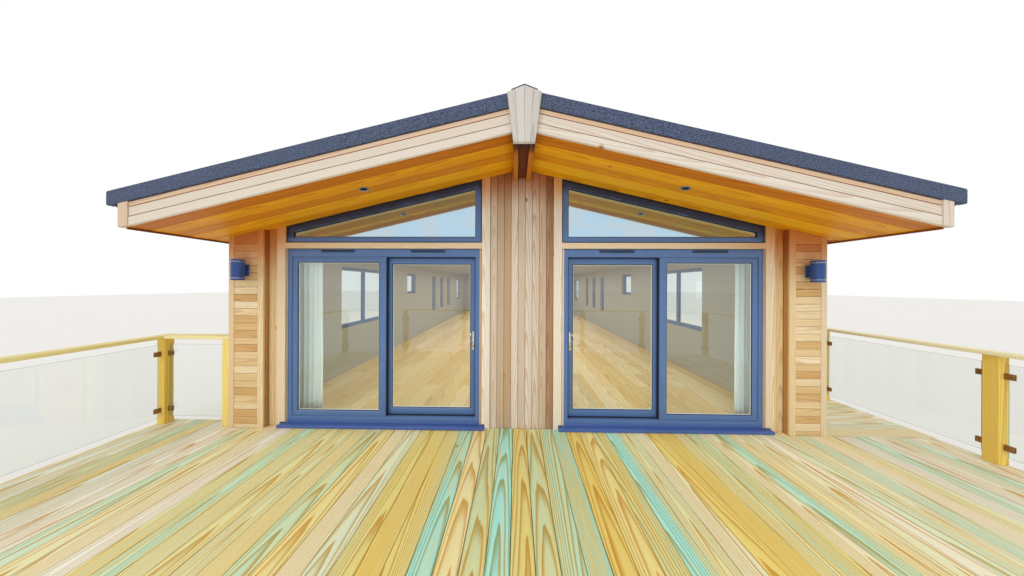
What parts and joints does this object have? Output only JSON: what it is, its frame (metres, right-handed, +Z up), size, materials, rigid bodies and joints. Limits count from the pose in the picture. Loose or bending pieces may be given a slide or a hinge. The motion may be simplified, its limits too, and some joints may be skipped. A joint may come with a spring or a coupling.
{
  "type": "static caravan",
  "caption": "Timber-clad twin-unit static caravan with a porch gable, sliding patio doors and a railed deck.",
  "frame": {"origin": "ground level under the ridge line, in the plane of the front cladding, on the foot of a stand", "axes": "+X to the right along the front, +Y into the building from the doors, +Z up"},
  "size_m": [8.93, 15.541, 3.9899],
  "materials": {
    "cedar_cladding": "oiled cedar boards, warm and varied",
    "pale_fascia": "pale cedar boards, fresh sawn",
    "amber_soffit": "oiled soffit boards, amber",
    "structural_timber": "sawn softwood",
    "deck_pine": "pressure-treated pine, planed",
    "anthracite_upvc": "foiled anthracite blue-grey frame",
    "cill_upvc": "foiled cill, blue-grey",
    "clear_glass": "sealed double glazing",
    "toughened_glass": "clear toughened glass",
    "handle_chrome": "polished",
    "clamp_steel": "brushed, with dark gasket",
    "chassis_steel": "black chassis paint",
    "stand_concrete": "cast concrete pad with a steel stand",
    "roof_sheet": "stone-granulated dark slate",
    "gutter_plastic": "satin anthracite",
    "interior_white": "white faced lining board",
    "floor_oak": "pale oak floor on a timber cassette",
    "light_metal": "powder-coated anthracite blue",
    "downlight_metal": "brushed rim"
  },
  "bodies": {
    "building": {"chassis_beams": "chassis_steel", "chassis_cross_members": "chassis_steel", "support_stands": "stand_concrete", "skirting": "structural_timber", "floor": "floor_oak", "front_wall_left": "interior_white", "front_wall_centre": "interior_white", "front_wall_right": "interior_white", "door_lintels": "interior_white", "left_wall": "interior_white", "right_wall": "interior_white", "back_wall": "interior_white", "front_cladding": "cedar_cladding", "side_cladding": "cedar_cladding", "back_cladding": "cedar_cladding", "door_surrounds": "cedar_cladding", "door_frames": "anthracite_upvc", "fixed_sashes": "anthracite_upvc", "fixed_glass": "clear_glass", "door_cills": "cill_upvc", "gable_window_frames": "anthracite_upvc", "gable_window_glass": "clear_glass", "window_frames": "anthracite_upvc", "window_glass": "clear_glass", "roof_left": "structural_timber", "roof_right": "structural_timber", "roof_covering": "roof_sheet", "ridge_cap": "roof_sheet", "ridge_beam": "cedar_cladding", "keystone_cover": "pale_fascia", "front_fascia": "pale_fascia", "back_fascia": "pale_fascia", "eaves_fascias": "pale_fascia", "porch_soffit": "amber_soffit", "eaves_soffits": "amber_soffit", "ceiling": "interior_white", "gutters": "gutter_plastic", "deck_boards": "deck_pine", "deck_joists": "deck_pine", "deck_bearers": "deck_pine", "deck_posts": "deck_pine", "deck_skirting": "deck_pine", "balustrade_posts": "deck_pine", "handrails": "deck_pine", "balustrade_glass": "toughened_glass", "glass_clamps": "clamp_steel", "wall_lights": "light_metal", "downlights": "downlight_metal"},
    "left_leaf": {"left_leaf_frame": "anthracite_upvc", "left_leaf_glass": "clear_glass", "left_leaf_handle": "handle_chrome"},
    "right_leaf": {"right_leaf_frame": "anthracite_upvc", "right_leaf_glass": "clear_glass", "right_leaf_handle": "handle_chrome"}
  },
  "joints": [
    {"name": "left_door_slide", "type": "slide", "parent": "building", "child": "left_leaf", "axis": [-1, 0, 0], "range_m": [0, 0.98]},
    {"name": "right_door_slide", "type": "slide", "parent": "building", "child": "right_leaf", "axis": [1, 0, 0], "range_m": [0, 0.98]}
  ]
}
